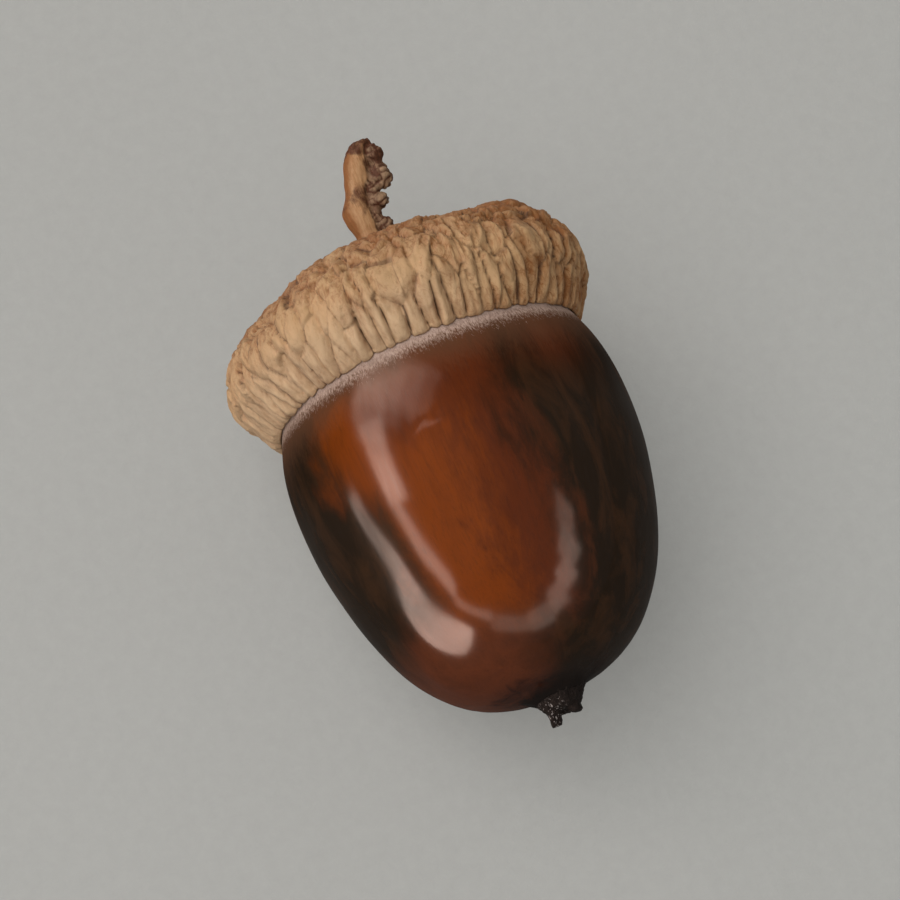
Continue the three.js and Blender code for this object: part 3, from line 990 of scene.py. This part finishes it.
class ACORN_OT_stem(bpy.types.Operator):
    """Make the knobbly stem"""

    bl_idname = "acorn.stem"
    bl_label = "Stem"

    def execute(self, context):
        outline_z, outline_y, outline_radius = zip(*STEM_OUTLINE)
        line = Outline(list(zip(outline_y, outline_z))).at(np.linspace(0, 1, 60))
        radius = np.interp(line[:, 1], outline_z, outline_radius)
        shaft = np.stack([0 * radius, line[:, 0], line[:, 1], radius], -1)
        parts = [tube(shaft)] + [ball(*knob) for knob in STEM_KNOBS]
        points, normals, faces = fused(parts, voxel=STEM_VOXEL)
        upright = points.copy()
        upright[:, 1] -= np.interp(points[:, 2], line[:, 1], line[:, 0])
        fibres = Noise(71).creases(upright * [1.8, 1.8, 0.35], 0.5)
        fine = Noise(73)(upright * [5, 5, 1.2])
        knob_share = np.zeros(len(points))
        for x, y, z, size, length in STEM_KNOBS:
            away = np.linalg.norm((points - [x, y, z]) / [size, size, length], axis=1)
            knob_share = np.maximum(knob_share, smooth(1.35, 0.95, away))
        end = smooth(-14.2, -14.9, points[:, 2] + 0.5 * Noise(77)(points * 1.4))
        folds = Noise(74).creases(points * [1.6, 1.6, 2.0], 0.5)
        relief = 0.03 * Noise(72)(points * 1.7) + 0.02 * fine - 0.03 * fibres - 0.12 * knob_share * folds
        relief -= end * 0.15 * np.abs(Noise(75)(points * 2.5))
        points = points + normals * relief[:, None]
        # Dark at the broken end, and painted shade in the knobs' creases
        dark = 0.95 * end + knob_share * (0.15 + 0.85 * folds**1.5)
        for x, y, z, size, length, strength in STEM_SCARS_AND_SHADE:
            away = np.linalg.norm((points - [x, y, z]) / [size, size, length], axis=1)
            away = away + 0.6 * Noise(76)(points * [2.5, 2.5, 1.5])
            dark = np.maximum(dark, strength * smooth(1.7, 0.3, away))
        dark = np.clip(dark, 0, 1)
        edge = smooth(-0.2, -0.8, upright[:, 1])
        mesh = make_mesh("stem_shaft", points, faces, dark=dark, edge=edge, knob=knob_share)
        place("stem_shaft", mesh, stem_material(context.scene.acorn_stem), "stem_bark", "stem")
        return {"FINISHED"}


# The stage
def towards(azimuth, elevation):
    """The direction at degrees from +X towards +Y, and above the floor."""
    a, e = math.radians(azimuth), math.radians(elevation)
    return Vector((math.cos(a) * math.cos(e), math.sin(a) * math.cos(e), math.sin(e)))


def add_light(name, azimuths, elevations, radiance, gloss_colour=None):
    """A rectangular light that faces the acorn and fills a range of directions, all in degrees. One with a
    gloss colour is only seen mirrored in glossy surfaces, and one without only lights the matte ones."""
    back = towards(sum(azimuths) / 2, sum(elevations) / 2)
    light = bpy.data.lights.new(name, "AREA")
    light.shape = "RECTANGLE"
    light.size = 2 * LIGHT_DISTANCE * back.xy.length * math.tan(math.radians(azimuths[1] - azimuths[0]) / 2)
    light.size_y = 2 * LIGHT_DISTANCE * math.tan(math.radians(elevations[1] - elevations[0]) / 2)
    light.energy = radiance * math.pi * light.size * light.size_y
    lamp = bpy.data.objects.new(name, light)
    bpy.context.scene.collection.objects.link(lamp)
    lamp.visible_glossy = gloss_colour is not None
    lamp.visible_diffuse = gloss_colour is None
    light.color = gloss_colour or (1, 1, 1)
    side = Vector((-back.y, back.x, 0)).normalized()
    turned = Matrix((side, back.cross(side), back)).transposed().to_4x4()
    lamp.matrix_world = Matrix.Translation(LIGHT_AIM + back * LIGHT_DISTANCE) @ turned


class ACORN_OT_stage(bpy.types.Operator):
    """Make the floor, the lights and the camera"""

    bl_idname = "acorn.stage"
    bl_label = "Floor, lights and camera"

    def execute(self, context):
        stage = context.scene.acorn_stage
        reach = FLOOR_REACH
        corners = [(-reach, -reach, 0), (reach, -reach, 0), (reach, reach, 0), (-reach, reach, 0)]
        mesh = bpy.data.meshes.new("floor")
        mesh.from_pydata(corners, [], [(0, 1, 2, 3)])
        mesh.materials.append(floor_material(stage))
        floor = bpy.data.objects.new("floor", mesh)
        context.scene.collection.objects.link(floor)

        world = bpy.data.worlds.new("soft_room")
        world.use_nodes = True
        background = world.node_tree.nodes["Background"]
        background.inputs["Color"].default_value = (*stage.room_colour, 1)
        background.inputs["Strength"].default_value = stage.ambient
        context.scene.world = world

        add_light("soft_box", *SOFT_BOX, stage.soft_box)
        for name, ranges, radiance in (
            ("window", WINDOW, stage.window),
            ("skyline", SKYLINE, stage.skyline),
            ("low_window", LOW_WINDOW, stage.low_window),
        ):
            for k, (start, end, low, high, share) in enumerate(ranges):
                add_light(f"{name}_{k}", (start, end), (low, high), share * radiance, stage.gloss_colour)

        ground = Vector((math.cos(CAMERA_TURN), -math.sin(CAMERA_TURN), 0))
        back = ground * math.cos(CAMERA_ELEVATION) + Vector((0, 0, math.sin(CAMERA_ELEVATION)))
        right = Vector((-ground.y, ground.x, 0))
        lens = bpy.data.cameras.new("camera")
        lens.sensor_width = SENSOR_WIDTH
        lens.lens = PIXELS_PER_METRE * CAMERA_DISTANCE / PHOTO_WIDTH * SENSOR_WIDTH
        lens.clip_start = CLIP_START
        camera = bpy.data.objects.new("camera", lens)
        context.scene.collection.objects.link(camera)
        turned = Matrix((right, back.cross(right), back)).transposed().to_4x4()
        camera.matrix_world = Matrix.Translation(CAMERA_TARGET + back * CAMERA_DISTANCE) @ turned
        context.scene.camera = camera
        context.scene.view_settings.view_transform = "Standard"
        return {"FINISHED"}


class ACORN_PT_panel(bpy.types.Panel):
    """The acorn's pieces and stage"""

    bl_label = "Acorn"
    bl_space_type = "VIEW_3D"
    bl_region_type = "UI"
    bl_category = "Acorn"

    def draw(self, context):
        for operator in OPERATORS:
            self.layout.operator(operator.bl_idname)


SETTINGS = {
    "acorn_nut": NutSettings,
    "acorn_style": StyleSettings,
    "acorn_cup": CupSettings,
    "acorn_stem": StemSettings,
    "acorn_stage": StageSettings,
}
OPERATORS = (ACORN_OT_stage, ACORN_OT_nut, ACORN_OT_down, ACORN_OT_style, ACORN_OT_cup, ACORN_OT_stem)
CLASSES = (*SETTINGS.values(), *OPERATORS, ACORN_PT_panel)


def register():
    for cls in CLASSES:
        bpy.utils.register_class(cls)
    for name, group in SETTINGS.items():
        setattr(bpy.types.Scene, name, PointerProperty(type=group))


def unregister():
    for name in SETTINGS:
        delattr(bpy.types.Scene, name)
    for cls in reversed(CLASSES):
        bpy.utils.unregister_class(cls)


def main():
    register()
    bpy.ops.acorn.stage()
    bpy.ops.acorn.nut()
    bpy.ops.acorn.down()
    bpy.ops.acorn.style()
    bpy.ops.acorn.cup()
    bpy.ops.acorn.stem()


if __name__ == "__main__":
    main()
